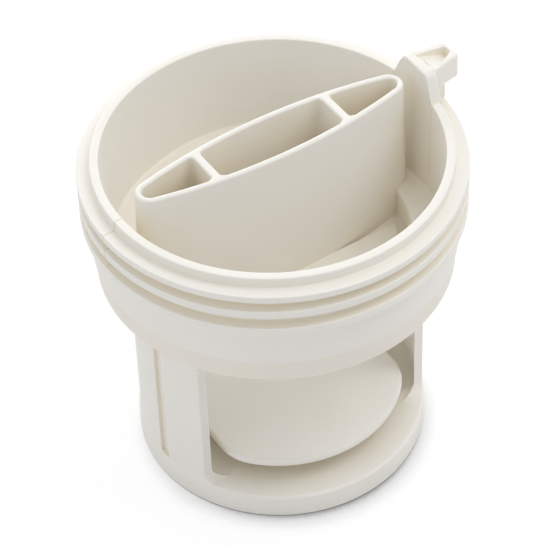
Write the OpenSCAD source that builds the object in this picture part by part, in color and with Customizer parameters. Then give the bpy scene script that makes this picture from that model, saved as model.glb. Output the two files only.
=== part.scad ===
// Drain pump cap: one plastic moulding with a ringed sealing collar, a deep cup with a hollow
// finger grip across it, a locking tab on the rim and an open two-legged cage below.
// Z is up, the origin is the centre of the face that the cage stands on, +X points to the tab.

/* [Collar, from the rim down] */
// Diameter of the plain lip above the shoulder
lip_d = 61.4; // [60.6:0.1:62.4]
// Height of the lip above the shoulder
lip_h = 1.95; // [1:0.05:4]
// Diameter over the two raised rings
ring_d = 66; // [64.6:0.2:72]
// Height of the outer face of the upper ring
upper_ring_h = 1.35; // [0.9:0.05:2.5]
// Height of the outer face of the lower ring
lower_ring_h = 1.6; // [0.9:0.05:2.5]
// Height of the groove between the two rings
upper_groove_h = 1.9; // [1.4:0.05:3]
// Height of the groove under the lower ring
lower_groove_h = 3.1; // [2:0.05:5]
// Diameter at the bottom of both grooves
groove_d = 62.4; // [61.6:0.1:62.8]
// Amount by which a ring is wider at its root than at its outer face, on each side
ring_flank = 0.2; // [0:0.05:0.4]
// Diameter of the narrow band under the grooves
band_d = 63.6; // [63.2:0.1:66]
// Height of the band
band_h = 1.6; // [0.8:0.1:3]
// Diameter of the plain cylinder that seals in the pump housing
seat_d = 62.92; // [62:0.02:63.1]
// Height of the plain cylinder
seat_h = 7; // [4:0.1:12]
// Height of the tapered lead-in under the cylinder
skirt_h = 4.6; // [3:0.1:8]
// Diameter at the bottom of the lead-in
skirt_d = 62.26; // [60.6:0.02:62.6]

/* [Cup] */
// Diameter of the cup at the rim
mouth_d = 58.2; // [57:0.1:59]
// Diameter of the cup at the ledge
cup_foot_d = 57; // [55:0.1:57.8]
// Depth of the ledge below the rim
cup_depth = 18.4; // [16:0.1:21]
// Diameter of the well inside the ledge
well_d = 46.8; // [44:0.1:47.6]
// Depth of the well below the ledge
well_depth = 6; // [5:0.1:9]
// Thickness of the floor of the well
floor_t = 1.8; // [1.2:0.1:3]
// Height of the raised pads on the floor of the well, one on each side of the grip
pad_h = 0.6; // [0.2:0.1:1.5]
// Gap between a pad and the wall of the well
pad_gap = 1.7; // [0.8:0.1:4]
// Thickness of the wall round the channel under the ledge
channel_wall = 2.4; // [1.6:0.1:2.6]
// Thickness of the ledge over the channel
ledge_t = 2.3; // [1.6:0.1:3.5]

/* [Grip] */
// Height of the grip above the rim
grip_rise = 3.2; // [1:0.1:8]
// Length of the grip over its round ends
grip_l = 52.3; // [49:0.1:54]
// Width of the grip at its middle, at the top
grip_w = 10.8; // [9:0.1:14]
// Radius of the round ends, seen from above
grip_end_r = 2.6; // [2.2:0.1:3]
// Amount by which each side of the grip widens from its top to the ledge
grip_draft = 0.55; // [0.2:0.05:1]
// Thickness of the walls of the grip
grip_wall = 1.1; // [0.8:0.1:1.6]
// Thickness of the two cross webs inside the grip
web_t = 1.6; // [1:0.1:3]
// Thickness of the wall at the two ends of the grip
end_wall = 1.45; // [1:0.05:2]
// Distance of a cross web from the middle of the grip
web_x = 12.8; // [9:0.1:16]
// Height of the pocket floors above the floor of the well
pocket_floor = 1.2; // [0.4:0.1:6]

/* [Locking tab] */
// Height of the tab above the rim
tab_h = 5; // [3:0.1:8]
// Width of the web of the tab where it leaves the rim
tab_root_w = 11.2; // [9:0.1:16]
// Width of the web of the tab at its top
tab_top_w = 6.8; // [6:0.1:8.6]
// Thickness of the web of the tab
tab_web_t = 1.9; // [1.4:0.1:3]
// Distance that the nose reaches out from the centre of the cap
nose_x = 36.6; // [35:0.1:40]
// Width of the nose at the web
nose_root_w = 6.6; // [5:0.1:6.8]
// Width of the nose at its tip
nose_tip_w = 3.8; // [3:0.1:5]
// Gap between the rim's height and the underside of the nose
nose_lift = 0.25; // [0:0.05:1]
// Distance that the neck under the nose reaches out from the centre of the cap
neck_x = 33.2; // [32.2:0.1:34]
// Width of the neck
neck_w = 6; // [4:0.1:6.6]
// Thickness of the border round the recess in the nose
recess_border = 0.75; // [0.5:0.05:1.2]
// Depth of the recess at the web
recess_near = 0.9; // [0.4:0.1:1.4]
// Depth of the recess at the tip
recess_far = 2.3; // [1.5:0.1:3]
// Distance of the recess from the inner face of the web
recess_in = 1.1; // [0.8:0.1:2]

/* [Cage] */
// Outer diameter of the legs
cage_d = 51.34; // [50:0.02:53]
// Thickness of the legs
leg_t = 1.45; // [1.4:0.05:3]
// Width of each leg, between the flat faces of the windows
leg_w = 25.8; // [16:0.1:30]
// Sideways shift of each leg, one to each side
leg_shift = 0.85; // [0:0.05:2.5]
// Height of the windows
window_h = 32.4; // [24:0.1:45]
// Width of the upright groove in the outer face of each leg
slot_w = 2.45; // [1.5:0.05:4]
// Depth of the upright groove
slot_depth = 0.9; // [0.4:0.05:1]
// Offset of the groove's edge from the middle plane of the cap
slot_y = 0.15; // [0:0.05:3]
// Radius of the fillets at the feet and heads of the legs, and inside their feet
leg_fillet = 2.2; // [0.8:0.1:3]

/* [Base] */
// Diameter of the base ring
base_d = 51.94; // [51.4:0.02:55]
// Height of the base ring
base_h = 4.8; // [3:0.1:8]
// Diameter of the opening in the base ring
base_bore_d = 33.5; // [30:0.5:40]
// Thickness of the rib across the opening
rib_t = 2; // [1.2:0.1:4]
// Diameter of the baffle plate
baffle_d = 44.2; // [40:0.2:46]
// Length of the baffle plate between its flat ends
baffle_l = 37; // [34:0.2:39]
// Radius of the corners of the baffle plate
baffle_corner = 9; // [2:0.5:12]
// Thickness of the baffle plate
baffle_t = 1.6; // [1.2:0.05:2.5]
// Gap between the base ring and the baffle plate
baffle_gap = 3.95; // [2:0.05:8]

/* [Edges] */
// Rounding of the rim
rim_round = 0.45; // [0.2:0.05:0.7]
// Rounding of the edges of the rings
ring_round = 0.25; // [0.1:0.05:0.4]
// Rounding of the inner edge of the ledge
ledge_round = 0.7; // [0.3:0.05:1.1]
// Rounding of the hollow corners inside the cup
cup_fillet = 0.5; // [0.2:0.05:0.6]
// Rounding of the top edge of the grip
grip_round = 0.4; // [0.15:0.05:0.5]
// Rounding of the shoulders of the tab's web
tab_round = 1.6; // [0.5:0.1:2]
// Rounding of the tip of the nose
nose_round = 0.5; // [0.2:0.05:0.7]
// Rounding of the corners of the recess in the nose
recess_round = 0.3; // [0.1:0.05:0.45]
// Rounding of the top edge of the base ring
base_round = 0.55; // [0.2:0.05:0.6]
// Rounding of the bottom edge of the base ring
foot_round = 0.3; // [0.1:0.05:0.4]
// Rounding of the top edge of the baffle plate
plate_round = 0.7; // [0.2:0.05:0.75]
// Rounding of the bottom edge of the baffle plate
plate_foot_round = 0.3; // [0.1:0.05:0.35]

/* [Hidden] */
$fn = 128;
// Degrees that one chord of a small rounding spans
arc_step = 22.5;
// Amount by which one sub-part is sunk into the next, so that they become one solid
bite = 0.3;
// Amount by which a cutter passes the face that it opens
over = 1;

// Levels of the cup, from the rest face up
window_top = base_h + window_h;
well_z = window_top + floor_t;
ledge_z = well_z + well_depth;
rim_z = ledge_z + cup_depth;

// Levels of the collar, from the rim down
shoulder_z = rim_z - lip_h;
upper_ring_z = shoulder_z - upper_ring_h;
lower_ring_top = upper_ring_z - upper_groove_h;
lower_ring_z = lower_ring_top - lower_ring_h;
band_top = lower_ring_z - lower_groove_h;
seat_top = band_top - band_h;
skirt_top = seat_top - seat_h;
collar_z = skirt_top - skirt_h;

// Levels of the grip, the tab and the baffle plate
grip_z = rim_z + grip_rise;
tab_z = rim_z + tab_h;
baffle_z = base_h + baffle_gap;

// The sides of the grip are arcs on which the round ends sit
grip_end_x = grip_l / 2 - grip_end_r;
grip_arc_r = (grip_end_x * grip_end_x + grip_w * grip_w / 4 - grip_end_r * grip_end_r)
    / (grip_w - 2 * grip_end_r);
// Side drafts are given over the height from the ledge to the top of the grip
grip_slope = grip_draft / (grip_z - ledge_z);

cage_inner_r = cage_d / 2 - leg_t;
channel_inner_r = cage_d / 2;
channel_outer_r = skirt_d / 2 - channel_wall;
slot_floor_r = cage_d / 2 - slot_depth;

// Points of a small arc round c from angle a0 to angle a1
function arc(c, r, a0, a1) =
    let (n = max(1, ceil(abs(a1 - a0) / arc_step)))
    [for (i = [0 : n]) c + r * [cos(a0 + (a1 - a0) * i / n), sin(a0 + (a1 - a0) * i / n)]];

// Short way round from angle a to angle b
function turn(a, b) = (b - a + 540) % 360 - 180;

// One corner of an outline, given as [x, y, radius], between its two neighbours
function corner(before, here, after) =
    let (
        p = [here.x, here.y],
        u = ([before.x, before.y] - p) / norm([before.x, before.y] - p),
        v = ([after.x, after.y] - p) / norm([after.x, after.y] - p),
        half = acos(u * v) / 2,
        centre = p + (u + v) / norm(u + v) * here.z / sin(half),
        t0 = p + u * here.z / tan(half) - centre,
        t1 = p + v * here.z / tan(half) - centre,
        a0 = atan2(t0.y, t0.x)
    )
    here.z == 0 ? [p] : arc(centre, here.z, a0, a0 + turn(a0, atan2(t1.y, t1.x)));

// A closed outline with a radius at each corner
function rounded(points) =
    let (n = len(points))
    [for (i = [0 : n - 1]) each corner(points[(i + n - 1) % n], points[i], points[(i + 1) % n])];

// Section of the collar, the cup and the well, as radius and height
function shell_section() = rounded([
    [0, well_z, 0],
    [well_d / 2, well_z, cup_fillet],
    [well_d / 2, ledge_z, ledge_round],
    [cup_foot_d / 2, ledge_z, cup_fillet],
    [mouth_d / 2, rim_z, rim_round],
    [lip_d / 2, rim_z, rim_round],
    [lip_d / 2, shoulder_z, 0],
    [ring_d / 2, shoulder_z, ring_round],
    [ring_d / 2, upper_ring_z, ring_round],
    [groove_d / 2, upper_ring_z - ring_flank, ring_round],
    [groove_d / 2, lower_ring_top + ring_flank, ring_round],
    [ring_d / 2, lower_ring_top, ring_round],
    [ring_d / 2, lower_ring_z, ring_round],
    [groove_d / 2, lower_ring_z - ring_flank, ring_round],
    [groove_d / 2, band_top, 0],
    [band_d / 2, band_top, ring_round],
    [band_d / 2, seat_top, 0],
    [seat_d / 2, seat_top, 0],
    [seat_d / 2, skirt_top, 0],
    [skirt_d / 2, collar_z, ring_round],
    [channel_outer_r, collar_z, ring_round],
    [channel_outer_r, ledge_z - ledge_t, cup_fillet],
    [channel_inner_r, ledge_z - ledge_t, cup_fillet],
    [channel_inner_r, window_top, 0],
    [0, window_top, 0]
]);

// Cutter of the upright groove in the leg at +X, from the base ring up to the collar
module slot() {
    translate([slot_floor_r, slot_y, base_h])
        cube([slot_depth + over, slot_w, collar_z - base_h]);
}

module shell() {
    difference() {
        rotate_extrude()
            polygon(shell_section());
        for (a = [0, 180])
            rotate([0, 0, a])
                slot();
    }
}

// Raised pads on the floor of the well, each with one straight side along the grip
module pads() {
    pad_r = well_d / 2 - pad_gap;
    pad_y = grip_w / 2 + grip_draft;
    for (side = [-1, 1])
        intersection() {
            translate([0, 0, well_z - bite])
                cylinder(r = pad_r, h = pad_h + bite);
            translate([-pad_r, side > 0 ? pad_y : -pad_y - pad_r, well_z - bite])
                cube([2 * pad_r, pad_r, pad_h + bite]);
        }
}

// One side of the grip: a very large drafted disc whose rim is the side, with a rounded top edge
module grip_side(arc_r, top, bottom, edge, slope) {
    rotate_extrude()
        polygon(rounded([
            [0, bottom, 0],
            [arc_r + slope * (top - bottom), bottom, 0],
            [arc_r, top, edge],
            [0, top, 0]
        ]));
}

// The lens between two such sides, cut flat at both ends
module lens(arc_r, half_w, half_l, top, bottom, edge, slope) {
    intersection() {
        translate([0, half_w - arc_r, 0])
            grip_side(arc_r, top, bottom, edge, slope);
        translate([0, arc_r - half_w, 0])
            grip_side(arc_r, top, bottom, edge, slope);
        translate([-half_l, -arc_r, bottom])
            cube([2 * half_l, 2 * arc_r, top - bottom]);
    }
}

// Round end of the grip, drafted like its sides
module grip_end() {
    rotate_extrude()
        polygon(rounded([
            [0, ledge_z - bite, 0],
            [grip_end_r + grip_draft, ledge_z - bite, 0],
            [grip_end_r, grip_z, grip_round],
            [0, grip_z, 0]
        ]));
}

// Hollow of one pocket between x0 and x1, narrower towards its floor
module pocket(x0, x1) {
    floor_z = well_z + pocket_floor;
    intersection() {
        lens(grip_arc_r - grip_wall, grip_w / 2 - grip_wall, grip_l / 2,
            grip_z + over, floor_z, 0, -grip_slope);
        translate([x0, -grip_w, floor_z])
            cube([x1 - x0, 2 * grip_w, grip_z + over - floor_z]);
    }
}

module grip() {
    pocket_end = grip_l / 2 - end_wall;
    difference() {
        union() {
            lens(grip_arc_r, grip_w / 2, grip_end_x, grip_z, well_z - bite, grip_round, grip_slope);
            for (side = [-1, 1])
                translate([side * grip_end_x, 0, 0])
                    grip_end();
        }
        pocket(-web_x + web_t / 2, web_x - web_t / 2);
        pocket(web_x + web_t / 2, pocket_end);
        pocket(-pocket_end, -web_x - web_t / 2);
    }
}

// Web of the tab: the wall of the rim carried upwards, narrower at the top
module tab_web() {
    foot_z = shoulder_z - bite;
    intersection() {
        translate([0, 0, foot_z])
            difference() {
                cylinder(d = mouth_d + 2 * tab_web_t, h = tab_z - foot_z);
                translate([0, 0, -over])
                    cylinder(d = mouth_d, h = tab_z - foot_z + 2 * over);
            }
        rotate([90, 0, 90])
            linear_extrude(nose_x)
                polygon(rounded([
                    [-tab_root_w / 2, foot_z, 0],
                    [tab_root_w / 2, foot_z, 0],
                    [tab_root_w / 2, rim_z, tab_round],
                    [tab_top_w / 2, tab_z, tab_round],
                    [-tab_top_w / 2, tab_z, tab_round],
                    [-tab_root_w / 2, rim_z, tab_round]
                ]));
    }
}

// Nose of the tab: a wedge seen from above, with softened edges
module nose() {
    inner_x = mouth_d / 2 + tab_web_t / 2;
    bottom = rim_z + nose_lift;
    intersection() {
        translate([0, 0, bottom])
            linear_extrude(tab_z - bottom)
                polygon(rounded([
                    [inner_x, -nose_root_w / 2, 0],
                    [nose_x, -nose_tip_w / 2, nose_round],
                    [nose_x, nose_tip_w / 2, nose_round],
                    [inner_x, nose_root_w / 2, 0]
                ]));
        translate([0, nose_root_w, 0])
            rotate([90, 0, 0])
                linear_extrude(2 * nose_root_w)
                    polygon(rounded([
                        [0, bottom, 0],
                        [nose_x, bottom, nose_round],
                        [nose_x, tab_z, nose_round],
                        [0, tab_z, 0]
                    ]));
    }
}

// Neck that carries the nose on the shoulder of the collar
module neck() {
    inner_x = lip_d / 2 - bite;
    translate([inner_x, -neck_w / 2, shoulder_z - bite])
        cube([neck_x - inner_x, neck_w, rim_z + nose_lift + 2 * bite - shoulder_z]);
}

// Recess in the top of the nose, with a floor that slopes down to the tip
module nose_recess() {
    x0 = mouth_d / 2 + recess_in;
    x1 = nose_x - recess_border;
    half_near = nose_root_w / 2 - recess_border;
    half_far = nose_tip_w / 2 - recess_border / 2;
    intersection() {
        translate([0, 0, rim_z])
            linear_extrude(tab_h + over)
                polygon(rounded([
                    [x0, -half_near, recess_round],
                    [x1, -half_far, recess_round],
                    [x1, half_far, recess_round],
                    [x0, half_near, recess_round]
                ]));
        translate([0, nose_root_w, 0])
            rotate([90, 0, 0])
                linear_extrude(2 * nose_root_w)
                    polygon([
                        [x0 - over, tab_z + over],
                        [x0 - over, tab_z - recess_near],
                        [x0, tab_z - recess_near],
                        [x1, tab_z - recess_far],
                        [x1 + over, tab_z - recess_far],
                        [x1 + over, tab_z + over]
                    ]);
    }
}

module tab() {
    difference() {
        union() {
            tab_web();
            nose();
            neck();
        }
        nose_recess();
    }
}

// Outline of the front of a leg, with fillets that spread at its foot and its head
function leg_outline() =
    let (y0 = -leg_w / 2 - leg_shift, y1 = leg_w / 2 - leg_shift, f = leg_fillet)
    concat(
        [[y0, base_h - bite], [y1, base_h - bite], [y1 + f, base_h - bite]],
        arc([y1 + f, base_h + f], f, 270, 180),
        arc([y1 + f, window_top - f], f, 180, 90),
        [[y1 + f, window_top + bite], [y0 - f, window_top + bite]],
        arc([y0 - f, window_top - f], f, 90, 0),
        arc([y0 - f, base_h + f], f, 0, -90),
        [[y0 - f, base_h - bite]]
    );

// Space inside the cage, with a rounded foot where the legs spread onto the base ring
module cage_core() {
    foot_r = cage_inner_r - 1.05 * leg_fillet;
    rotate_extrude()
        polygon(rounded([
            [0, base_h - over, 0],
            [foot_r, base_h - over, 0],
            [foot_r, base_h, 0],
            [cage_inner_r, base_h, leg_fillet],
            [cage_inner_r, window_top + over, 0],
            [0, window_top + over, 0]
        ]));
}

// Leg at +X: the part of the cage's wall between two flat faces, with its upright groove
module leg() {
    difference() {
        intersection() {
            translate([0, 0, base_h - bite])
                cylinder(d = cage_d, h = window_h + 2 * bite);
            rotate([90, 0, 90])
                linear_extrude(cage_d / 2 + over)
                    polygon(leg_outline());
        }
        cage_core();
        slot();
    }
}

// Base ring with the rib that crosses its opening and carries the baffle plate
module base() {
    rotate_extrude()
        polygon(rounded([
            [base_bore_d / 2, 0, 0],
                [base_d / 2, 0, foot_round],
            [base_d / 2, base_h, base_round],
            [base_bore_d / 2, base_h, 0]
        ]));
    rib_l = base_bore_d + 2 * bite;
    translate([-rib_l / 2, -rib_t / 2, 0])
        cube([rib_l, rib_t, baffle_z + bite]);
}

// Baffle plate: a round plate with two flat ends and softened edges
module baffle() {
    r = baffle_d / 2;
    flat = baffle_l / 2;
    flat_y = sqrt(r * r - flat * flat);
    intersection() {
        rotate_extrude()
            polygon(rounded([
                [0, baffle_z, 0],
                [r, baffle_z, plate_foot_round],
                [r, baffle_z + baffle_t, plate_round],
                [0, baffle_z + baffle_t, 0]
            ]));
        translate([0, 0, baffle_z - over])
            linear_extrude(baffle_t + 2 * over)
                polygon(rounded([
                    [flat, -flat_y, baffle_corner],
                    [flat, flat_y, baffle_corner],
                    [0, 2 * r, 0],
                    [-flat, flat_y, baffle_corner],
                    [-flat, -flat_y, baffle_corner],
                    [0, -2 * r, 0]
                ]));
    }
}

module drain_cap() {
    color("gainsboro") {
        shell();
        pads();
        grip();
        tab();
        for (a = [0, 180])
            rotate([0, 0, a])
                leg();
        base();
        baffle();
    }
}

drain_cap();
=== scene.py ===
"""Drain pump cap in warm grey-white moulded plastic, on a plain pale floor.

The cap is one moulding, so it is one piece. It is modelled in millimetres from the sizes
below, then brought to metres, and it stands for the frame's own node.
"""
import math

import bpy
from mathutils import Matrix, Vector


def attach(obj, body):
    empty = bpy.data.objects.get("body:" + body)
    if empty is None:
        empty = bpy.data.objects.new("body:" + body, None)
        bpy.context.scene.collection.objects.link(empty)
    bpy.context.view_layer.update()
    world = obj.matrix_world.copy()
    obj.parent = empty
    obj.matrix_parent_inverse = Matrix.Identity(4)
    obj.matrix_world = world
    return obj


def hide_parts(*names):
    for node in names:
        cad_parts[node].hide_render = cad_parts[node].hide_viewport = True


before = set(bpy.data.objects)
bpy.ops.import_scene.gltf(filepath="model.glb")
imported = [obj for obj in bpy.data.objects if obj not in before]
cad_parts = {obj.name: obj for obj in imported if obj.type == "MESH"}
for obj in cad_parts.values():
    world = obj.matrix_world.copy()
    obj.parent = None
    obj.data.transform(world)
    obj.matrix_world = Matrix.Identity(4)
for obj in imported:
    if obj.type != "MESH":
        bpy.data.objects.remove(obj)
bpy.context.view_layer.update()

MM = 0.001

# Collar, radii and heights
LIP_R = 30.7
RING_R = 33.0
GROOVE_R = 31.2
SEAT_R = 31.46
SKIRT_R = 31.13
SEAT_STEP = 0.15
RIM_Z = 63.4
SHOULDER_Z = 61.45
UPPER_RING_Z = 60.1
LOWER_RING_TOP = 58.2
LOWER_RING_Z = 56.6
THIRD_RING_TOP = 54.35
THIRD_RING_Z = 52.7
SKIRT_TOP = 44.9
COLLAR_Z = 40.3
RING_FLANK = 0.2

# Outline of the collar's outside from the rim down: points and corner radii
COLLAR = (
    ((LIP_R, 0, RIM_Z), 0.25),
    ((LIP_R, 0, SHOULDER_Z), 0.2),
    ((RING_R, 0, SHOULDER_Z), 0.2),
    ((RING_R, 0, UPPER_RING_Z), 0.2),
    ((GROOVE_R, 0, UPPER_RING_Z - RING_FLANK), 0.3),
    ((GROOVE_R, 0, LOWER_RING_TOP + RING_FLANK), 0.3),
    ((RING_R, 0, LOWER_RING_TOP), 0.2),
    ((RING_R, 0, LOWER_RING_Z), 0.2),
    ((GROOVE_R, 0, LOWER_RING_Z - RING_FLANK), 0.3),
    ((GROOVE_R, 0, THIRD_RING_TOP + RING_FLANK), 0.3),
    ((RING_R, 0, THIRD_RING_TOP), 0.2),
    ((RING_R, 0, THIRD_RING_Z), 0.2),
    ((SEAT_R, 0, THIRD_RING_Z - RING_FLANK), 0.3),
)
PARTING_DEPTH = 0.1
PARTING_W = 0.2
# The parting line runs over this many points of the collar's outline
PARTING_POINTS = 11

# Cup and well
MOUTH_R = 29.1
CUP_FOOT_R = 28.5
LEDGE_Z = 45.0
LEDGE_FALL = 1.7
LEDGE_FALL_X = 10.0
LEDGE_FALL_L = 22.0
LEDGE_STEPS = 12
WELL_R = 23.4
WELL_Z = 39.0
WINDOW_TOP = 37.2
CHANNEL_OUTER_R = 28.73
CHANNEL_TOP = 42.7
PAD_H = 0.8
PAD_R = 21.7
PAD_SIDE_Y = 5.7

# Grip
GRIP_Z = 66.6
GRIP_END_X = 23.55
GRIP_END_R = 2.6
GRIP_HALF_W = 5.4
GRIP_DRAFT = 0.55
GRIP_WALL = 1.1
WEB_X = 12.8
WEB_T = 1.6
POCKET_Z = 40.2
POCKET_CORNER = 0.9

# Locking tab
TAB_Z = 68.4
TAB_TURN = math.radians(-0.7)
TAB_ROOT_HALF = 5.6
TAB_TOP_HALF = 3.4
TAB_OUTER_R = 31.1
TAB_FACE_FOOT = 27.9
TAB_FACE_TOP = 28.68
TAB_SHOULDER = 1.4
NOSE_X = 36.6
NOSE_ROOT_HALF = 3.35
NOSE_TIP_NEAR = 1.9
NOSE_TIP_FAR = 2.35
NOSE_Z = 63.65
NECK_X = 33.2
NECK_HALF = 3.0
# Corners of the recess in the nose: along, across and depth
RECESS = ((30.3, 2.1, 0.55), (35.8, 1.2, 1.85), (35.8, -0.45, 1.75), (31.3, -3.05, 0.05))

# Cage
CAGE_R = 25.67
LEG_T = 1.45
LEG_HALF = 12.3
LEG_SHIFT = 1.45
LEG_FILLET = 2.2
SLOT_Y = 0.15
SLOT_W = 2.45
SLOT_DEPTH = 0.65

# Base ring and baffle plate
BASE_R = 25.97
BASE_H = 4.8
BASE_BORE_R = 16.75
RIB_T = 2.0
BAFFLE_R = 22.1
BAFFLE_HALF_L = 18.5
BAFFLE_CORNER = 2.5
BAFFLE_T = 1.6
BAFFLE_Z = 8.75

# Fineness of the curves
ROUND_STEPS = 180
GRIP_STEPS = 30
CORNER_STEPS = 4
BITE = 0.3

# Colours of the resin: plain, clouded, painted shade on the skirt, painted shade in corners (also
# the grain's tone), and painted highlight on edges (also the rubbed streaks)
RESIN = (0.885, 0.865, 0.82, 1)
RESIN_CLOUD = (0.872, 0.848, 0.797, 1)
RESIN_SKIRT_SHADE = (0.855, 0.81, 0.725, 1)
RESIN_GRAIN_AND_CORNER_SHADE = (0.88, 0.814, 0.675, 1)
RESIN_EDGE_HIGHLIGHT_AND_STREAKS = (0.92, 0.914, 0.905, 1)

# Camera, fitted to the photograph
IMAGE_SIDE = 550
FOCAL_PX = 2608.24
SENSOR = 36.0
CAMERA_DISTANCE = 456.03
CAMERA_ELEVATION = math.radians(44.44)
CAMERA_AZIMUTH = math.radians(-31.5)
CAMERA_ROLL = math.radians(-2.22)
CAMERA_OFFSET = (-0.333, 0.131)
CAMERA_TARGET_Z = 34.0

# Soft lamps: name, place and side in metres, power in watts
LAMPS = (
    ("lamp_right", (0.7, -0.4, 0.9), 0.5, 1.55),
    ("lamp_high_right", (0.4, -0.25, 1.1), 0.5, 2.0),
    ("lamp_back_right", (0.5, 0.5, 1.0), 0.5, 0.7),
    ("lamp_high_back", (0, 0.5, 1.1), 0.5, 0.5),
    ("lamp_left", (-1.1, 0.1, 0.4), 0.6, 1.05),
    ("lamp_back", (0.3, 1.1, 0.4), 0.6, 3.9),
)
SURROUND_LOW = 0.52
SURROUND_HIGH = 0.75
# Direction the floor's painted shadow is measured towards, so that it falls as if most of the soft
# light came from behind the cap
FLOOR_SHADOW_LEAN = (0.143, 0.556, 0.819)



def make_camera():
    """Camera at the photograph's viewing angle."""
    back = Vector((
        math.sin(CAMERA_AZIMUTH) * math.cos(CAMERA_ELEVATION),
        -math.cos(CAMERA_AZIMUTH) * math.cos(CAMERA_ELEVATION),
        math.sin(CAMERA_ELEVATION),
    ))
    level = Vector((math.cos(CAMERA_AZIMUTH), math.sin(CAMERA_AZIMUTH), 0))
    upright = back.cross(level)
    right = math.cos(CAMERA_ROLL) * level + math.sin(CAMERA_ROLL) * upright
    up = math.cos(CAMERA_ROLL) * upright - math.sin(CAMERA_ROLL) * level
    place = Vector((0, 0, CAMERA_TARGET_Z)) + back * CAMERA_DISTANCE
    place += right * CAMERA_OFFSET[0] + up * CAMERA_OFFSET[1]
    data = bpy.data.cameras.new("camera")
    data.sensor_width = SENSOR
    data.lens = FOCAL_PX / IMAGE_SIDE * SENSOR
    data.clip_start = 0.01
    data.clip_end = 20
    camera = bpy.data.objects.new("camera", data)
    bpy.context.scene.collection.objects.link(camera)
    axes = Matrix((right, up, back)).transposed().to_4x4()
    camera.matrix_world = Matrix.Translation(place * MM) @ axes
    bpy.context.scene.camera = camera


def deselect():
    bpy.ops.object.select_all(action="DESELECT")


def edit(obj, select="DESELECT"):
    """Opens obj in edit mode with everything or nothing selected."""
    deselect()
    bpy.context.view_layer.objects.active = obj
    obj.select_set(True)
    bpy.ops.object.mode_set(mode="EDIT")
    bpy.ops.mesh.select_mode(type="VERT")
    bpy.ops.mesh.select_all(action=select)


def pick(obj, kind, test):
    """Selects the vertices, edges or faces of obj, in edit mode, whose points pass the test."""
    bpy.ops.mesh.select_mode(type=kind)
    bpy.ops.mesh.select_all(action="DESELECT")
    bpy.ops.object.mode_set(mode="OBJECT")
    mesh = obj.data
    parts = {"VERT": mesh.vertices, "EDGE": mesh.edges, "FACE": mesh.polygons}[kind]
    for part in parts:
        corners = [part.index] if kind == "VERT" else part.vertices
        part.select = all(test(mesh.vertices[i].co) for i in corners)
    bpy.ops.object.mode_set(mode="EDIT")


def near(a, b, slack=0.01):
    return abs(a - b) < slack


def at(point, slack=0.01):
    """Test for a vertex at a point."""
    target = Vector(point)
    return lambda co: (co - target).length < slack


def start_outline(name, point):
    """A new mesh that is one point, ready for an outline to be drawn from it."""
    deselect()
    bpy.ops.mesh.primitive_plane_add(size=1, location=point)
    obj = bpy.context.object
    obj.name = name
    bpy.ops.object.transform_apply(location=True, rotation=True, scale=True)
    edit(obj, "SELECT")
    bpy.ops.mesh.merge(type="CENTER")
    return obj


def line_by(step):
    """Draws a straight edge from the last point."""
    bpy.ops.mesh.extrude_region_move(TRANSFORM_OT_translate={"value": tuple(step)})


def arc_by(center, angle, steps, axis=(0, 0, 1)):
    """Draws an arc from the last point round a centre, anticlockwise about the axis."""
    bpy.ops.mesh.spin(steps=steps, angle=-angle, center=center, axis=axis)


def draw_outline(name, corners):
    """Open outline through (point, radius) corners, each corner rounded by its radius."""
    obj = start_outline(name, corners[0][0])
    for (before, _), (here, _) in zip(corners, corners[1:]):
        line_by(Vector(here) - Vector(before))
    for i in range(1, len(corners) - 1):
        point, radius = Vector(corners[i][0]), corners[i][1]
        if radius == 0:
            continue
        u = (Vector(corners[i - 1][0]) - point).normalized()
        v = (Vector(corners[i + 1][0]) - point).normalized()
        reach = radius / math.tan(u.angle(v) / 2)
        pick(obj, "VERT", at(point))
        bpy.ops.mesh.bevel(offset=reach, segments=CORNER_STEPS, affect="VERTICES")
    return obj


def revolve(obj, steps=ROUND_STEPS):
    """Turns the outline that is open in edit mode round the Z axis and closes it."""
    bpy.ops.mesh.select_all(action="SELECT")
    bpy.ops.mesh.spin(steps=steps, angle=math.tau, center=(0, 0, 0), axis=(0, 0, 1))
    close_mesh(obj)
    return obj


def close_mesh(obj):
    """Joins doubled points, turns the faces outwards and leaves edit mode."""
    bpy.ops.mesh.select_all(action="SELECT")
    bpy.ops.mesh.remove_doubles(threshold=0.0005)
    bpy.ops.mesh.normals_make_consistent(inside=False)
    bpy.ops.object.mode_set(mode="OBJECT")
    return obj


def block(name, low, high):
    """A box between two corners, open in edit mode."""
    deselect()
    low, high = Vector(low), Vector(high)
    bpy.ops.mesh.primitive_cube_add(size=1, location=(low + high) / 2)
    obj = bpy.context.object
    obj.name = name
    obj.scale = high - low
    bpy.ops.object.transform_apply(location=True, rotation=True, scale=True)
    edit(obj)
    return obj


def combine(target, tool, operation):
    """Boolean of target and tool, applied to target; the tool is used up."""
    deselect()
    bpy.context.view_layer.objects.active = target
    target.select_set(True)
    boolean = target.modifiers.new("boolean", "BOOLEAN")
    boolean.operation = operation
    boolean.solver = "EXACT"
    boolean.object = tool
    bpy.ops.object.modifier_apply(modifier=boolean.name)
    bpy.data.objects.remove(tool)
    edit(target, "SELECT")
    bpy.ops.mesh.remove_doubles(threshold=0.0005)
    bpy.ops.object.mode_set(mode="OBJECT")
    return target


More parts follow.
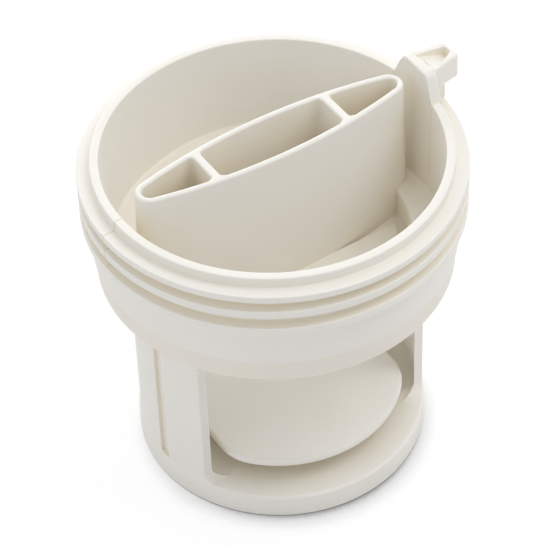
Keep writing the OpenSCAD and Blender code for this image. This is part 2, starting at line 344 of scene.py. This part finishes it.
def make_shell():
    """Collar, cup, well and the wall of the cage, revolved from one section."""
    section = [
        ((0, 0, WELL_Z), 0),
        ((WELL_R, 0, WELL_Z), 0.5),
        ((WELL_R, 0, LEDGE_Z), 0.7),
        ((CUP_FOOT_R, 0, LEDGE_Z), 0.6),
        ((MOUTH_R, 0, RIM_Z), 0.25),
        *COLLAR,
        ((SEAT_R, 0, SKIRT_TOP), 0.12),
        ((SEAT_R - SEAT_STEP, 0, SKIRT_TOP - SEAT_STEP), 0.1),
        ((SKIRT_R - SEAT_STEP, 0, COLLAR_Z), 0.3),
        ((CHANNEL_OUTER_R, 0, COLLAR_Z), 0.25),
        ((CHANNEL_OUTER_R, 0, CHANNEL_TOP), 0.5),
        ((CAGE_R, 0, CHANNEL_TOP), 0.5),
        ((CAGE_R, 0, BASE_H - BITE), 0),
        ((CAGE_R - LEG_T - 1.05 * LEG_FILLET, 0, BASE_H - BITE), 0),
        ((CAGE_R - LEG_T - 1.05 * LEG_FILLET, 0, BASE_H - 0.03), 0),
        ((CAGE_R - LEG_T, 0, BASE_H), LEG_FILLET),
        ((CAGE_R - LEG_T, 0, WINDOW_TOP), 0.4),
        ((0, 0, WINDOW_TOP), 0),
    ]
    shell = revolve(draw_outline("shell", section))
    for level in (WELL_Z, WINDOW_TOP):
        edit(shell)
        pick(shell, "FACE", lambda co: near(co.z, level))
        bpy.ops.mesh.dissolve_faces()
        bpy.ops.object.mode_set(mode="OBJECT")
    slope_ledge(shell)
    reach = CAGE_R + 5
    for turn in (0, 1):
        sign = -1 if turn else 1
        for x_side, edge in ((1, LEG_HALF + LEG_SHIFT), (-1, LEG_HALF - LEG_SHIFT)):
            xs = sorted((-sign * x_side * BITE, sign * x_side * reach))
            ys = sorted((-sign * reach, -sign * edge))
            window = block("window", (xs[0], ys[0], BASE_H - 0.2), (xs[1], ys[1], WINDOW_TOP))
            pick(window, "EDGE", lambda co: near(co.y, -sign * edge))
            keep_edges(window, lambda a, b: near(a.z, b.z) and not near(a.x, b.x))
            bpy.ops.mesh.bevel(offset=LEG_FILLET, segments=8)
            bpy.ops.object.mode_set(mode="OBJECT")
            combine(shell, window, "DIFFERENCE")
    cut_parting_line(shell)
    return shell


def slope_ledge(shell):
    """Lets the ledge fall gently towards the side away from the tab."""
    def on_ledge(co):
        radius = math.hypot(co.x, co.y)
        return radius < 29.2 and LEDGE_Z - 3 < co.z < LEDGE_Z + 1 and (radius < 24.3 or co.z > 43.1)

    edit(shell)
    for step in range(LEDGE_STEPS):
        start = LEDGE_FALL_X - LEDGE_FALL_L * step / LEDGE_STEPS
        pick(shell, "VERT", lambda co: co.x < start and on_ledge(co))
        bpy.ops.transform.translate(value=(0, 0, -LEDGE_FALL / LEDGE_STEPS))
    bpy.ops.object.mode_set(mode="OBJECT")


def cut_parting_line(shell):
    """Fine line over the rim and the rings, where the two halves of the tool met."""
    strip = draw_outline("parting", [((MOUTH_R - BITE, 0, RIM_Z), 0), *COLLAR[:PARTING_POINTS]])
    bpy.ops.mesh.select_all(action="SELECT")
    bpy.ops.mesh.extrude_region_move(TRANSFORM_OT_translate={"value": (0, PARTING_W, 0)})
    bpy.ops.mesh.select_all(action="SELECT")
    bpy.ops.transform.translate(value=(0, -PARTING_W / 2, 0))
    bpy.ops.transform.rotate(value=math.pi, orient_axis="Z", center_override=(0, 0, 0))
    close_mesh(strip)
    thicken = strip.modifiers.new("thicken", "SOLIDIFY")
    thicken.thickness = 2 * PARTING_DEPTH
    thicken.offset = 0
    thicken.use_even_offset = True
    bpy.ops.object.modifier_apply(modifier=thicken.name)
    combine(shell, strip, "DIFFERENCE")


def keep_edges(obj, test):
    """Of the selected edges, keeps those whose two ends pass the test."""
    bpy.ops.object.mode_set(mode="OBJECT")
    mesh = obj.data
    for edge in mesh.edges:
        a, b = (mesh.vertices[i].co for i in edge.vertices)
        edge.select = edge.select and test(a, b)
    for face in mesh.polygons:
        face.select = False
    for vertex in mesh.vertices:
        vertex.select = False
    for edge in mesh.edges:
        if edge.select:
            for i in edge.vertices:
                mesh.vertices[i].select = True
    bpy.ops.object.mode_set(mode="EDIT")


def make_pad(side):
    """Raised pad on the floor of the well, on one side of the grip."""
    deselect()
    bpy.ops.mesh.primitive_circle_add(
        vertices=ROUND_STEPS, radius=PAD_R, fill_type="NGON", location=(0, 0, WELL_Z + PAD_H))
    obj = bpy.context.object
    bpy.ops.object.transform_apply(location=True, rotation=True, scale=True)
    edit(obj, "SELECT")
    straight = side * PAD_SIDE_Y
    bpy.ops.mesh.bisect(
        plane_co=(0, straight, 0), plane_no=(0, side, 0), clear_inner=True, use_fill=False)
    bpy.ops.mesh.select_all(action="SELECT")
    bpy.ops.mesh.extrude_region_move(
        TRANSFORM_OT_translate={"value": (0, 0, -PAD_H - BITE / 2)})
    pick(obj, "EDGE", lambda co: near(co.z, WELL_Z + PAD_H))
    bpy.ops.mesh.bevel(offset=0.15, segments=3)
    close_mesh(obj)
    edit(obj, "SELECT")
    bpy.ops.mesh.flip_normals()
    bpy.ops.object.mode_set(mode="OBJECT")
    return obj


def make_grip():
    """Hollow lens-shaped finger grip, its mouth divided by two cross webs."""
    arc_r = GRIP_END_X ** 2 + GRIP_HALF_W ** 2 - GRIP_END_R ** 2
    arc_r /= 2 * (GRIP_HALF_W - GRIP_END_R)
    lean = math.asin(GRIP_END_X / (arc_r - GRIP_END_R))
    side_angle, end_angle = 2 * lean, math.pi - 2 * lean
    start = (GRIP_END_X + GRIP_END_R * math.sin(lean), GRIP_END_R * math.cos(lean), GRIP_Z)
    obj = start_outline("grip", start)
    arc_by((0, GRIP_HALF_W - arc_r, GRIP_Z), side_angle, GRIP_STEPS)
    arc_by((-GRIP_END_X, 0, GRIP_Z), end_angle, 20)
    arc_by((0, arc_r - GRIP_HALF_W, GRIP_Z), side_angle, GRIP_STEPS)
    arc_by((GRIP_END_X, 0, GRIP_Z), end_angle, 20)
    bpy.ops.mesh.select_all(action="SELECT")
    bpy.ops.mesh.remove_doubles(threshold=0.001)
    bpy.ops.mesh.edge_face_add()
    bpy.ops.mesh.inset(thickness=GRIP_WALL)

    def inner(co):
        in_sides = math.hypot(co.x, abs(co.y) + arc_r - GRIP_HALF_W) < arc_r - GRIP_WALL / 2
        in_ends = math.hypot(max(abs(co.x) - GRIP_END_X, 0), co.y) < GRIP_END_R - GRIP_WALL / 2
        return in_sides and (abs(co.x) < GRIP_END_X or in_ends)

    near_x, far_x = WEB_X - WEB_T / 2, WEB_X + WEB_T / 2
    for x in (-far_x, -near_x, near_x, far_x):
        pick(obj, "FACE", inner)
        bpy.ops.mesh.bisect(plane_co=(x, 0, 0), plane_no=(1, 0, 0))
    slack = 0.05
    pockets = (
        lambda co: inner(co) and co.x < slack - far_x,
        lambda co: inner(co) and abs(co.x) < near_x + slack,
        lambda co: inner(co) and co.x > far_x - slack,
    )
    for pocket in pockets:
        pick(obj, "FACE", pocket)
        bpy.ops.mesh.extrude_region_move(
            TRANSFORM_OT_translate={"value": (0, 0, POCKET_Z - GRIP_Z)})
        bpy.ops.transform.resize(value=(1, 0.84, 1), center_override=(0, 0, 0))
    pick(obj, "EDGE", lambda co: near(abs(co.x), near_x) or near(abs(co.x), far_x))
    keep_edges(obj, lambda a, b: abs(a.z - b.z) > 1)
    bpy.ops.mesh.bevel(offset=POCKET_CORNER, segments=CORNER_STEPS)
    bpy.ops.mesh.select_mode(type="EDGE")
    bpy.ops.mesh.select_all(action="DESELECT")
    bpy.ops.mesh.select_non_manifold(
        extend=False, use_wire=False, use_boundary=True, use_multi_face=False,
        use_non_contiguous=False, use_verts=False)
    foot_z = WELL_Z - BITE
    spread = GRIP_DRAFT * (GRIP_Z - foot_z) / (GRIP_Z - LEDGE_Z)
    half_l = GRIP_END_X + GRIP_END_R
    bpy.ops.mesh.extrude_region_move(TRANSFORM_OT_translate={"value": (0, 0, foot_z - GRIP_Z)})
    bpy.ops.transform.resize(
        value=(1 + spread / half_l, 1 + spread / GRIP_HALF_W, 1), center_override=(0, 0, 0))
    bpy.ops.mesh.edge_face_add()
    pick(obj, "FACE", lambda co: near(co.z, GRIP_Z))
    bpy.ops.mesh.region_to_loop()
    bpy.ops.mesh.bevel(offset=0.5, segments=CORNER_STEPS)
    return close_mesh(obj)


def make_tab():
    """Locking tab: a web that carries the rim upwards, and a hollowed nose on a neck."""
    foot_z = LEDGE_Z - BITE
    web = draw_outline("tab", [
        ((TAB_FACE_FOOT - 1, 0, foot_z), 0),
        ((TAB_FACE_FOOT - 1, TAB_ROOT_HALF, foot_z), 0),
        ((TAB_FACE_FOOT - 1, TAB_ROOT_HALF, RIM_Z), TAB_SHOULDER),
        ((TAB_FACE_FOOT - 1, TAB_TOP_HALF, TAB_Z), TAB_SHOULDER),
        ((TAB_FACE_FOOT - 1, -TAB_TOP_HALF, TAB_Z), TAB_SHOULDER),
        ((TAB_FACE_FOOT - 1, -TAB_ROOT_HALF, RIM_Z), TAB_SHOULDER),
        ((TAB_FACE_FOOT - 1, -TAB_ROOT_HALF, foot_z), 0),
        ((TAB_FACE_FOOT - 1, 0, foot_z), 0),
    ])
    bpy.ops.mesh.select_all(action="SELECT")
    bpy.ops.mesh.remove_doubles(threshold=0.001)
    bpy.ops.mesh.edge_face_add()
    bpy.ops.mesh.extrude_region_move(TRANSFORM_OT_translate={"value": (6, 0, 0)})
    lean = math.atan2(TAB_FACE_TOP - TAB_FACE_FOOT, TAB_Z - LEDGE_Z)
    bpy.ops.mesh.select_all(action="SELECT")
    bpy.ops.mesh.bisect(
        plane_co=(TAB_FACE_FOOT, 0, LEDGE_Z), plane_no=(-math.cos(lean), 0, math.sin(lean)),
        clear_outer=True, use_fill=True)
    close_mesh(web)
    hidden_r = GROOVE_R - BITE
    limit = revolve(draw_outline("limit", [
        ((0, 0, foot_z - 1), 0),
        ((hidden_r, 0, foot_z - 1), 0),
        ((hidden_r, 0, SHOULDER_Z - BITE), 0),
        ((TAB_OUTER_R, 0, SHOULDER_Z - BITE), 0),
        ((TAB_OUTER_R, 0, TAB_Z + 1), 0),
        ((0, 0, TAB_Z + 1), 0),
    ]))
    combine(web, limit, "INTERSECT")
    edit(web)
    bpy.ops.mesh.select_mode(type="EDGE")
    bpy.ops.mesh.edges_select_sharp(sharpness=math.radians(35))
    keep_edges(web, lambda a, b: min(a.z, b.z) > RIM_Z + 1)
    bpy.ops.mesh.bevel(offset=0.4, segments=CORNER_STEPS)
    close_mesh(web)

    nose = block("nose", (TAB_OUTER_R - 1, -NOSE_ROOT_HALF, NOSE_Z),
                 (NOSE_X, NOSE_ROOT_HALF, TAB_Z))
    for side, tip in ((-1, NOSE_TIP_NEAR), (1, NOSE_TIP_FAR)):
        pick(nose, "VERT", lambda co: near(co.x, NOSE_X) and near(co.y, side * NOSE_ROOT_HALF))
        bpy.ops.transform.translate(value=(0, side * (tip - NOSE_ROOT_HALF), 0))
    bpy.ops.mesh.select_all(action="SELECT")
    bpy.ops.mesh.bevel(offset=0.45, segments=CORNER_STEPS)
    close_mesh(nose)

    neck = block("neck", (LIP_R - 2 * BITE, -NECK_HALF, SHOULDER_Z - BITE),
                 (NECK_X, NECK_HALF, NOSE_Z + 2 * BITE))
    bpy.ops.mesh.select_all(action="SELECT")
    bpy.ops.mesh.bevel(offset=0.25, segments=3)
    close_mesh(neck)

    recess = block("recess", (-1, -1, TAB_Z), (1, 1, TAB_Z + 1))
    for (x, y, depth), (sx, sy) in zip(RECESS, ((-1, 1), (1, 1), (1, -1), (-1, -1))):
        pick(recess, "VERT", lambda co: near(co.x, sx) and near(co.y, sy))
        bpy.ops.transform.translate(value=(x - sx, y - sy, 0))
        pick(recess, "VERT", lambda co: near(co.x, x) and near(co.y, y) and near(co.z, TAB_Z))
        bpy.ops.transform.translate(value=(0, 0, -depth))
    bpy.ops.mesh.select_all(action="SELECT")
    bpy.ops.mesh.bevel(offset=0.3, segments=CORNER_STEPS)
    close_mesh(recess)

    combine(web, nose, "UNION")
    combine(web, neck, "UNION")
    combine(web, recess, "DIFFERENCE")
    edit(web)
    bpy.ops.mesh.select_mode(type="EDGE")
    bpy.ops.mesh.edges_select_sharp(sharpness=math.radians(35))
    keep_edges(web, lambda a, b: near(a.z, TAB_Z) and near(b.z, TAB_Z))
    bpy.ops.mesh.bevel(offset=0.2, segments=3)
    close_mesh(web)
    edit(web, "SELECT")
    bpy.ops.transform.rotate(value=-TAB_TURN, orient_axis="Z", center_override=(0, 0, 0))
    bpy.ops.object.mode_set(mode="OBJECT")
    return web


def make_base():
    """Base ring with the rib across its opening."""
    middle = BASE_H / 2
    base = revolve(draw_outline("base", [
        ((BASE_BORE_R, 0, middle), 0),
        ((BASE_BORE_R, 0, 0), 0.3),
        ((BASE_R, 0, 0), 0.35),
        ((BASE_R, 0, BASE_H), 0.6),
        ((BASE_BORE_R, 0, BASE_H), 0.35),
        ((BASE_BORE_R, 0, middle), 0),
    ]))
    rib = block("rib", (-BASE_BORE_R - BITE, -RIB_T / 2, 0.05),
                (BASE_BORE_R + BITE, RIB_T / 2, BAFFLE_Z + BITE))
    bpy.ops.object.mode_set(mode="OBJECT")
    return combine(base, rib, "UNION")


def make_baffle():
    """Round plate with two flat ends, rounded corners and soft edges."""
    deselect()
    bpy.ops.mesh.primitive_circle_add(
        vertices=ROUND_STEPS, radius=BAFFLE_R, fill_type="NGON", location=(0, 0, BAFFLE_Z))
    obj = bpy.context.object
    bpy.ops.object.transform_apply(location=True, rotation=True, scale=True)
    edit(obj)
    corner_y = math.sqrt(BAFFLE_R ** 2 - BAFFLE_HALF_L ** 2)
    for side in (-1, 1):
        bpy.ops.mesh.select_all(action="SELECT")
        bpy.ops.mesh.bisect(
            plane_co=(side * BAFFLE_HALF_L, 0, 0), plane_no=(side, 0, 0), clear_outer=True)
    for x in (-BAFFLE_HALF_L, BAFFLE_HALF_L):
        for y in (-corner_y, corner_y):
            corner = Vector((x, y, BAFFLE_Z))
            pick(obj, "VERT", lambda co: 0.05 < (co - corner).length < BAFFLE_CORNER + 0.3)
            bpy.ops.mesh.dissolve_verts()
            pick(obj, "VERT", at(corner, 0.05))
            bpy.ops.mesh.bevel(offset=BAFFLE_CORNER, segments=8, affect="VERTICES")
    bpy.ops.mesh.select_all(action="SELECT")
    bpy.ops.mesh.extrude_region_move(TRANSFORM_OT_translate={"value": (0, 0, BAFFLE_T)})
    pick(obj, "EDGE", lambda co: near(co.z, BAFFLE_Z + BAFFLE_T))
    bpy.ops.mesh.bevel(offset=0.7, segments=CORNER_STEPS)
    pick(obj, "EDGE", lambda co: near(co.z, BAFFLE_Z))
    bpy.ops.mesh.bevel(offset=0.3, segments=CORNER_STEPS)
    return close_mesh(obj)


def cut_slots(cap):
    """Upright groove in the outer face of each leg."""
    for sign in (1, -1):
        xs = sorted((sign * (CAGE_R - SLOT_DEPTH), sign * (CAGE_R + 1.5)))
        ys = sorted((sign * SLOT_Y, sign * (SLOT_Y + SLOT_W)))
        slot = block("slot", (xs[0], ys[0], BASE_H), (xs[1], ys[1], COLLAR_Z + 1))
        bpy.ops.object.mode_set(mode="OBJECT")
        combine(cap, slot, "DIFFERENCE")


def make_cap():
    """The whole moulding, one closed mesh."""
    foot = combine(make_base(), make_baffle(), "UNION")
    cap = make_shell()
    for part in (foot, make_grip(), make_tab(), make_pad(-1), make_pad(1)):
        combine(cap, part, "UNION")
    cut_slots(cap)
    cap.name = "drain_cap_moulding"
    cap.scale = (MM, MM, MM)
    deselect()
    cap.select_set(True)
    bpy.context.view_layer.objects.active = cap
    bpy.ops.object.transform_apply(location=True, rotation=True, scale=True)
    bpy.ops.object.shade_smooth_by_angle(angle=math.radians(32))
    return cap


def new_group(name, inputs, outputs):
    """Shader node group with float inputs at their usual values, and float outputs."""
    group = bpy.data.node_groups.new(name, "ShaderNodeTree")
    for label, value in inputs:
        socket = group.interface.new_socket(label, in_out="INPUT", socket_type="NodeSocketFloat")
        socket.default_value = value
    for label in outputs:
        group.interface.new_socket(label, in_out="OUTPUT", socket_type="NodeSocketFloat")
    return group, group.nodes.new("NodeGroupInput"), group.nodes.new("NodeGroupOutput")


def math_node(tree, operation, *inputs):
    """Math node fed by sockets or numbers; gives its output socket."""
    node = tree.nodes.new("ShaderNodeMath")
    node.operation = operation
    for socket, value in zip(node.inputs, inputs):
        if isinstance(value, (int, float)):
            socket.default_value = value
        else:
            tree.links.new(value, socket)
    return node.outputs[0]


def remap(tree, value, low, high, to_low, to_high):
    """Map Range node from low..high to to_low..to_high, held at its ends."""
    node = tree.nodes.new("ShaderNodeMapRange")
    tree.links.new(value, node.inputs["Value"])
    for label, number in (("From Min", low), ("From Max", high),
                          ("To Min", to_low), ("To Max", to_high)):
        if isinstance(number, (int, float)):
            node.inputs[label].default_value = number
        else:
            tree.links.new(number, node.inputs[label])
    return node.outputs["Result"]


def noise(tree, point, scale, detail=2.0, roughness=0.5):
    """Noise texture read at a point given in metres."""
    node = tree.nodes.new("ShaderNodeTexNoise")
    node.inputs["Detail"].default_value = detail
    node.inputs["Roughness"].default_value = roughness
    tree.links.new(point, node.inputs["Vector"])
    if isinstance(scale, (int, float)):
        node.inputs["Scale"].default_value = scale
    else:
        tree.links.new(scale, node.inputs["Scale"])
    return node.outputs["Fac"]


def object_point(tree, stretch=(1, 1, 1)):
    """Point on the piece in metres, stretched along the axes."""
    place = tree.nodes.new("ShaderNodeTexCoord")
    mapping = tree.nodes.new("ShaderNodeMapping")
    mapping.inputs["Scale"].default_value = stretch
    tree.links.new(place.outputs["Object"], mapping.inputs["Vector"])
    return mapping.outputs["Vector"]


def grain_group():
    """Fine spark-eroded grain of the tool, with soft cloudy shades of the resin under it."""
    group, given, out = new_group(
        "moulded_grain", [("Scale", 900.0), ("Cloud Scale", 70.0)], ["Grain", "Cloud"])
    point = object_point(group)
    group.links.new(noise(group, point, given.outputs["Scale"], 3.0, 0.6), out.inputs["Grain"])
    group.links.new(noise(group, point, given.outputs["Cloud Scale"], 3.0), out.inputs["Cloud"])
    return group


def turning_group():
    """Fine rings that the turned tool leaves round the collar, and faint rubbed streaks."""
    group, given, out = new_group(
        "turning_marks", [("Pitch Scale", 2400.0), ("Streak Scale", 900.0)], ["Rings", "Streaks"])
    rings = noise(group, object_point(group, (0.004, 0.004, 1)), given.outputs["Pitch Scale"])
    streaks = noise(group, object_point(group, (0.12, 0.12, 1)), given.outputs["Streak Scale"], 4.0)
    group.links.new(rings, out.inputs["Rings"])
    group.links.new(remap(group, streaks, 0.58, 0.72, 0, 1), out.inputs["Streaks"])
    return group


def edge_group():
    """Mask of the outer edges, which rub smooth and carry a painted highlight, and of the inner
    corners, which carry painted shade.
    """
    group, given, out = new_group(
        "edge_wear_highlight_and_corner_shade", [("Width", 0.0006), ("Reach", 0.012)], ["Edge", "Corner"])
    shape = group.nodes.new("ShaderNodeNewGeometry")
    bevel = group.nodes.new("ShaderNodeBevel")
    bevel.samples = 4
    group.links.new(given.outputs["Width"], bevel.inputs["Radius"])
    same = group.nodes.new("ShaderNodeVectorMath")
    same.operation = "DOT_PRODUCT"
    group.links.new(shape.outputs["Normal"], same.inputs[0])
    group.links.new(bevel.outputs["Normal"], same.inputs[1])
    open_sky = group.nodes.new("ShaderNodeAmbientOcclusion")
    open_sky.samples = 8
    open_sky.only_local = True
    group.links.new(given.outputs["Reach"], open_sky.inputs["Distance"])
    turned = remap(group, same.outputs["Value"], 1.0, 0.9, 0, 1)
    outer = remap(group, open_sky.outputs["AO"], 0.55, 0.8, 0, 1)
    group.links.new(math_node(group, "MULTIPLY", turned, outer), out.inputs["Edge"])
    group.links.new(remap(group, open_sky.outputs["AO"], 0.85, 0.15, 0, 1), out.inputs["Corner"])
    return group


def zone_group():
    """Mask of the skirt below the seal seat, where painted shade makes the colour warmer and
    darker.
    """
    group, given, out = new_group("below_seat", [("Height", SKIRT_TOP * MM)], ["Zone"])
    place = group.nodes.new("ShaderNodeTexCoord")
    parts = group.nodes.new("ShaderNodeSeparateXYZ")
    group.links.new(place.outputs["Object"], parts.inputs["Vector"])
    radius = math_node(
        group, "SQRT", math_node(
            group, "ADD", math_node(group, "POWER", parts.outputs["X"], 2.0),
            math_node(group, "POWER", parts.outputs["Y"], 2.0)))
    outside = math_node(group, "GREATER_THAN", radius, (MOUTH_R + 1) * MM)
    below = math_node(group, "LESS_THAN", parts.outputs["Z"], given.outputs["Height"])
    group.links.new(math_node(group, "MULTIPLY", outside, below), out.inputs["Zone"])
    return group


def place_group(tree, group, **values):
    """Group node in a material, with its own values."""
    node = tree.nodes.new("ShaderNodeGroup")
    node.node_tree = group
    for label, value in values.items():
        node.inputs[label.replace("_", " ")].default_value = value
    return node


def blend_colour(tree, share, first, second):
    """Mix of two colours, each a socket or a written colour, by a share of the second."""
    node = tree.nodes.new("ShaderNodeMix")
    node.data_type = "RGBA"
    tree.links.new(share, node.inputs["Factor"])
    for label, value in (("A", first), ("B", second)):
        socket = [i for i in node.inputs if i.name == label and i.type == "RGBA"][0]
        if isinstance(value, tuple):
            socket.default_value = value
        else:
            tree.links.new(value, socket)
    return [o for o in node.outputs if o.type == "RGBA"][0]


def plastic():
    """Warm grey-white moulded plastic with fine grain, turning marks and rubbed edges, with a
    painted highlight on its edges and painted shade in its corners and on the skirt.
    """
    material = bpy.data.materials.new("moulded_plastic")
    material.use_nodes = True
    tree = material.node_tree
    shader = tree.nodes["Principled BSDF"]
    grain = place_group(tree, grain_group())
    turning = place_group(tree, turning_group())
    edges = place_group(tree, edge_group())
    zone = place_group(tree, zone_group())

    colour = blend_colour(
        tree, remap(tree, grain.outputs["Cloud"], 0.3, 0.7, 0, 1), RESIN, RESIN_CLOUD)
    colour = blend_colour(
        # Painted shade: the skirt below the seat is drawn warmer and darker.
        tree, math_node(tree, "MULTIPLY", zone.outputs["Zone"], 0.85), colour, RESIN_SKIRT_SHADE)
    colour = blend_colour(
        # Painted shade: inner corners, with little open space round them, are drawn warmer and
        # darker.
        tree, edges.outputs["Corner"], colour, RESIN_GRAIN_AND_CORNER_SHADE)
    colour = blend_colour(
        tree, math_node(tree, "MULTIPLY", turning.outputs["Streaks"], 0.12), colour, RESIN_EDGE_HIGHLIGHT_AND_STREAKS)
    colour = blend_colour(
        # Painted highlight: outer edges are drawn paler.
        tree, math_node(tree, "MULTIPLY", edges.outputs["Edge"], 0.7), colour, RESIN_EDGE_HIGHLIGHT_AND_STREAKS)
    colour = blend_colour(
        # Random tone of the grain, in the same warm colour.
        tree, remap(tree, grain.outputs["Grain"], 0.35, 0.75, 0, 0.15), colour, RESIN_GRAIN_AND_CORNER_SHADE)
    tree.links.new(colour, shader.inputs["Base Color"])

    rough = remap(tree, grain.outputs["Grain"], 0.3, 0.7, 0.44, 0.56)
    rough = math_node(
        tree, "SUBTRACT", rough, math_node(tree, "MULTIPLY", edges.outputs["Edge"], 0.1))
    tree.links.new(rough, shader.inputs["Roughness"])

    height = math_node(
        tree, "ADD", math_node(tree, "MULTIPLY", grain.outputs["Grain"], 0.7),
        math_node(tree, "MULTIPLY", turning.outputs["Rings"], 0.3))
    bump = tree.nodes.new("ShaderNodeBump")
    bump.inputs["Strength"].default_value = 0.25
    bump.inputs["Distance"].default_value = 0.00006
    tree.links.new(height, bump.inputs["Height"])
    tree.links.new(bump.outputs["Normal"], shader.inputs["Normal"])
    return material


def floor_material():
    """Pale floor that reads white to the camera, with a painted shadow at the cap's foot."""
    material = bpy.data.materials.new("pale_floor")
    material.use_nodes = True
    tree = material.node_tree
    tree.nodes.clear()
    path = tree.nodes.new("ShaderNodeLightPath")
    contact = tree.nodes.new("ShaderNodeAmbientOcclusion")
    contact.samples = 16
    contact.inputs["Distance"].default_value = 0.008
    leaning = tree.nodes.new("ShaderNodeCombineXYZ")
    for socket, part in zip(leaning.inputs, FLOOR_SHADOW_LEAN):
        socket.default_value = part
    tree.links.new(leaning.outputs["Vector"], contact.inputs["Normal"])
    # Painted shadow: occlusion near the cap's foot darkens the floor's colour and glow as the
    # camera sees them.
    near_foot = remap(tree, contact.outputs["AO"], 0.31, 0.43, 0.2, 0.72)
    wider = remap(tree, contact.outputs["AO"], 0.43, 0.72, 0, 0.28)
    shade = math_node(tree, "ADD", near_foot, wider)
    seen = math_node(tree, "MAXIMUM", path.outputs["Is Camera Ray"], path.outputs["Is Glossy Ray"])
    lit = remap(tree, seen, 0, 1, 0.8, math_node(tree, "MULTIPLY", shade, 0.2))
    diffuse = tree.nodes.new("ShaderNodeBsdfDiffuse")
    tree.links.new(lit, diffuse.inputs["Color"])
    glow = tree.nodes.new("ShaderNodeEmission")
    tree.links.new(
        math_node(tree, "MULTIPLY", shade, math_node(tree, "MULTIPLY", seen, 0.83)),
        glow.inputs["Strength"])
    add = tree.nodes.new("ShaderNodeAddShader")
    out = tree.nodes.new("ShaderNodeOutputMaterial")
    tree.links.new(diffuse.outputs[0], add.inputs[0])
    tree.links.new(glow.outputs[0], add.inputs[1])
    tree.links.new(add.outputs[0], out.inputs["Surface"])
    return material


def make_floor():
    deselect()
    bpy.ops.mesh.primitive_plane_add(size=8, location=(0, 0, 0))
    floor = bpy.context.object
    floor.name = "floor"
    floor.data.materials.append(floor_material())


def make_world():
    """Soft surround, and white behind the floor."""
    world = bpy.data.worlds.new("surround")
    bpy.context.scene.world = world
    world.use_nodes = True
    nodes, links = world.node_tree.nodes, world.node_tree.links
    background = nodes["Background"]
    background.inputs["Color"].default_value = (1, 1, 1, 1)
    path = nodes.new("ShaderNodeLightPath")
    place = nodes.new("ShaderNodeTexCoord")
    parts = nodes.new("ShaderNodeSeparateXYZ")
    links.new(place.outputs["Generated"], parts.inputs["Vector"])
    level = remap(world.node_tree, parts.outputs["Z"], 0, 1, SURROUND_LOW, SURROUND_HIGH)
    seen = math_node(world.node_tree, "MAXIMUM",
                     path.outputs["Is Camera Ray"], path.outputs["Is Glossy Ray"])
    links.new(math_node(world.node_tree, "MAXIMUM", level, seen), background.inputs["Strength"])


def make_lamp(name, place, size, power):
    """Soft square lamp that faces the cap."""
    data = bpy.data.lights.new(name, "AREA")
    data.shape = "SQUARE"
    data.size = size
    data.energy = power
    lamp = bpy.data.objects.new(name, data)
    bpy.context.scene.collection.objects.link(lamp)
    place = Vector(place)
    aim = place - Vector((0, 0, 0.03))
    lamp.matrix_world = Matrix.Translation(place) @ aim.to_track_quat("Z", "Y").to_matrix().to_4x4()


make_camera()
cap = make_cap()
cap.data.materials.clear()
cap.data.materials.append(plastic())
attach(cap, "root")
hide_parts("drain_cap")
make_floor()
make_world()
for lamp in LAMPS:
    make_lamp(*lamp)
bpy.context.scene.view_settings.view_transform = "Standard"
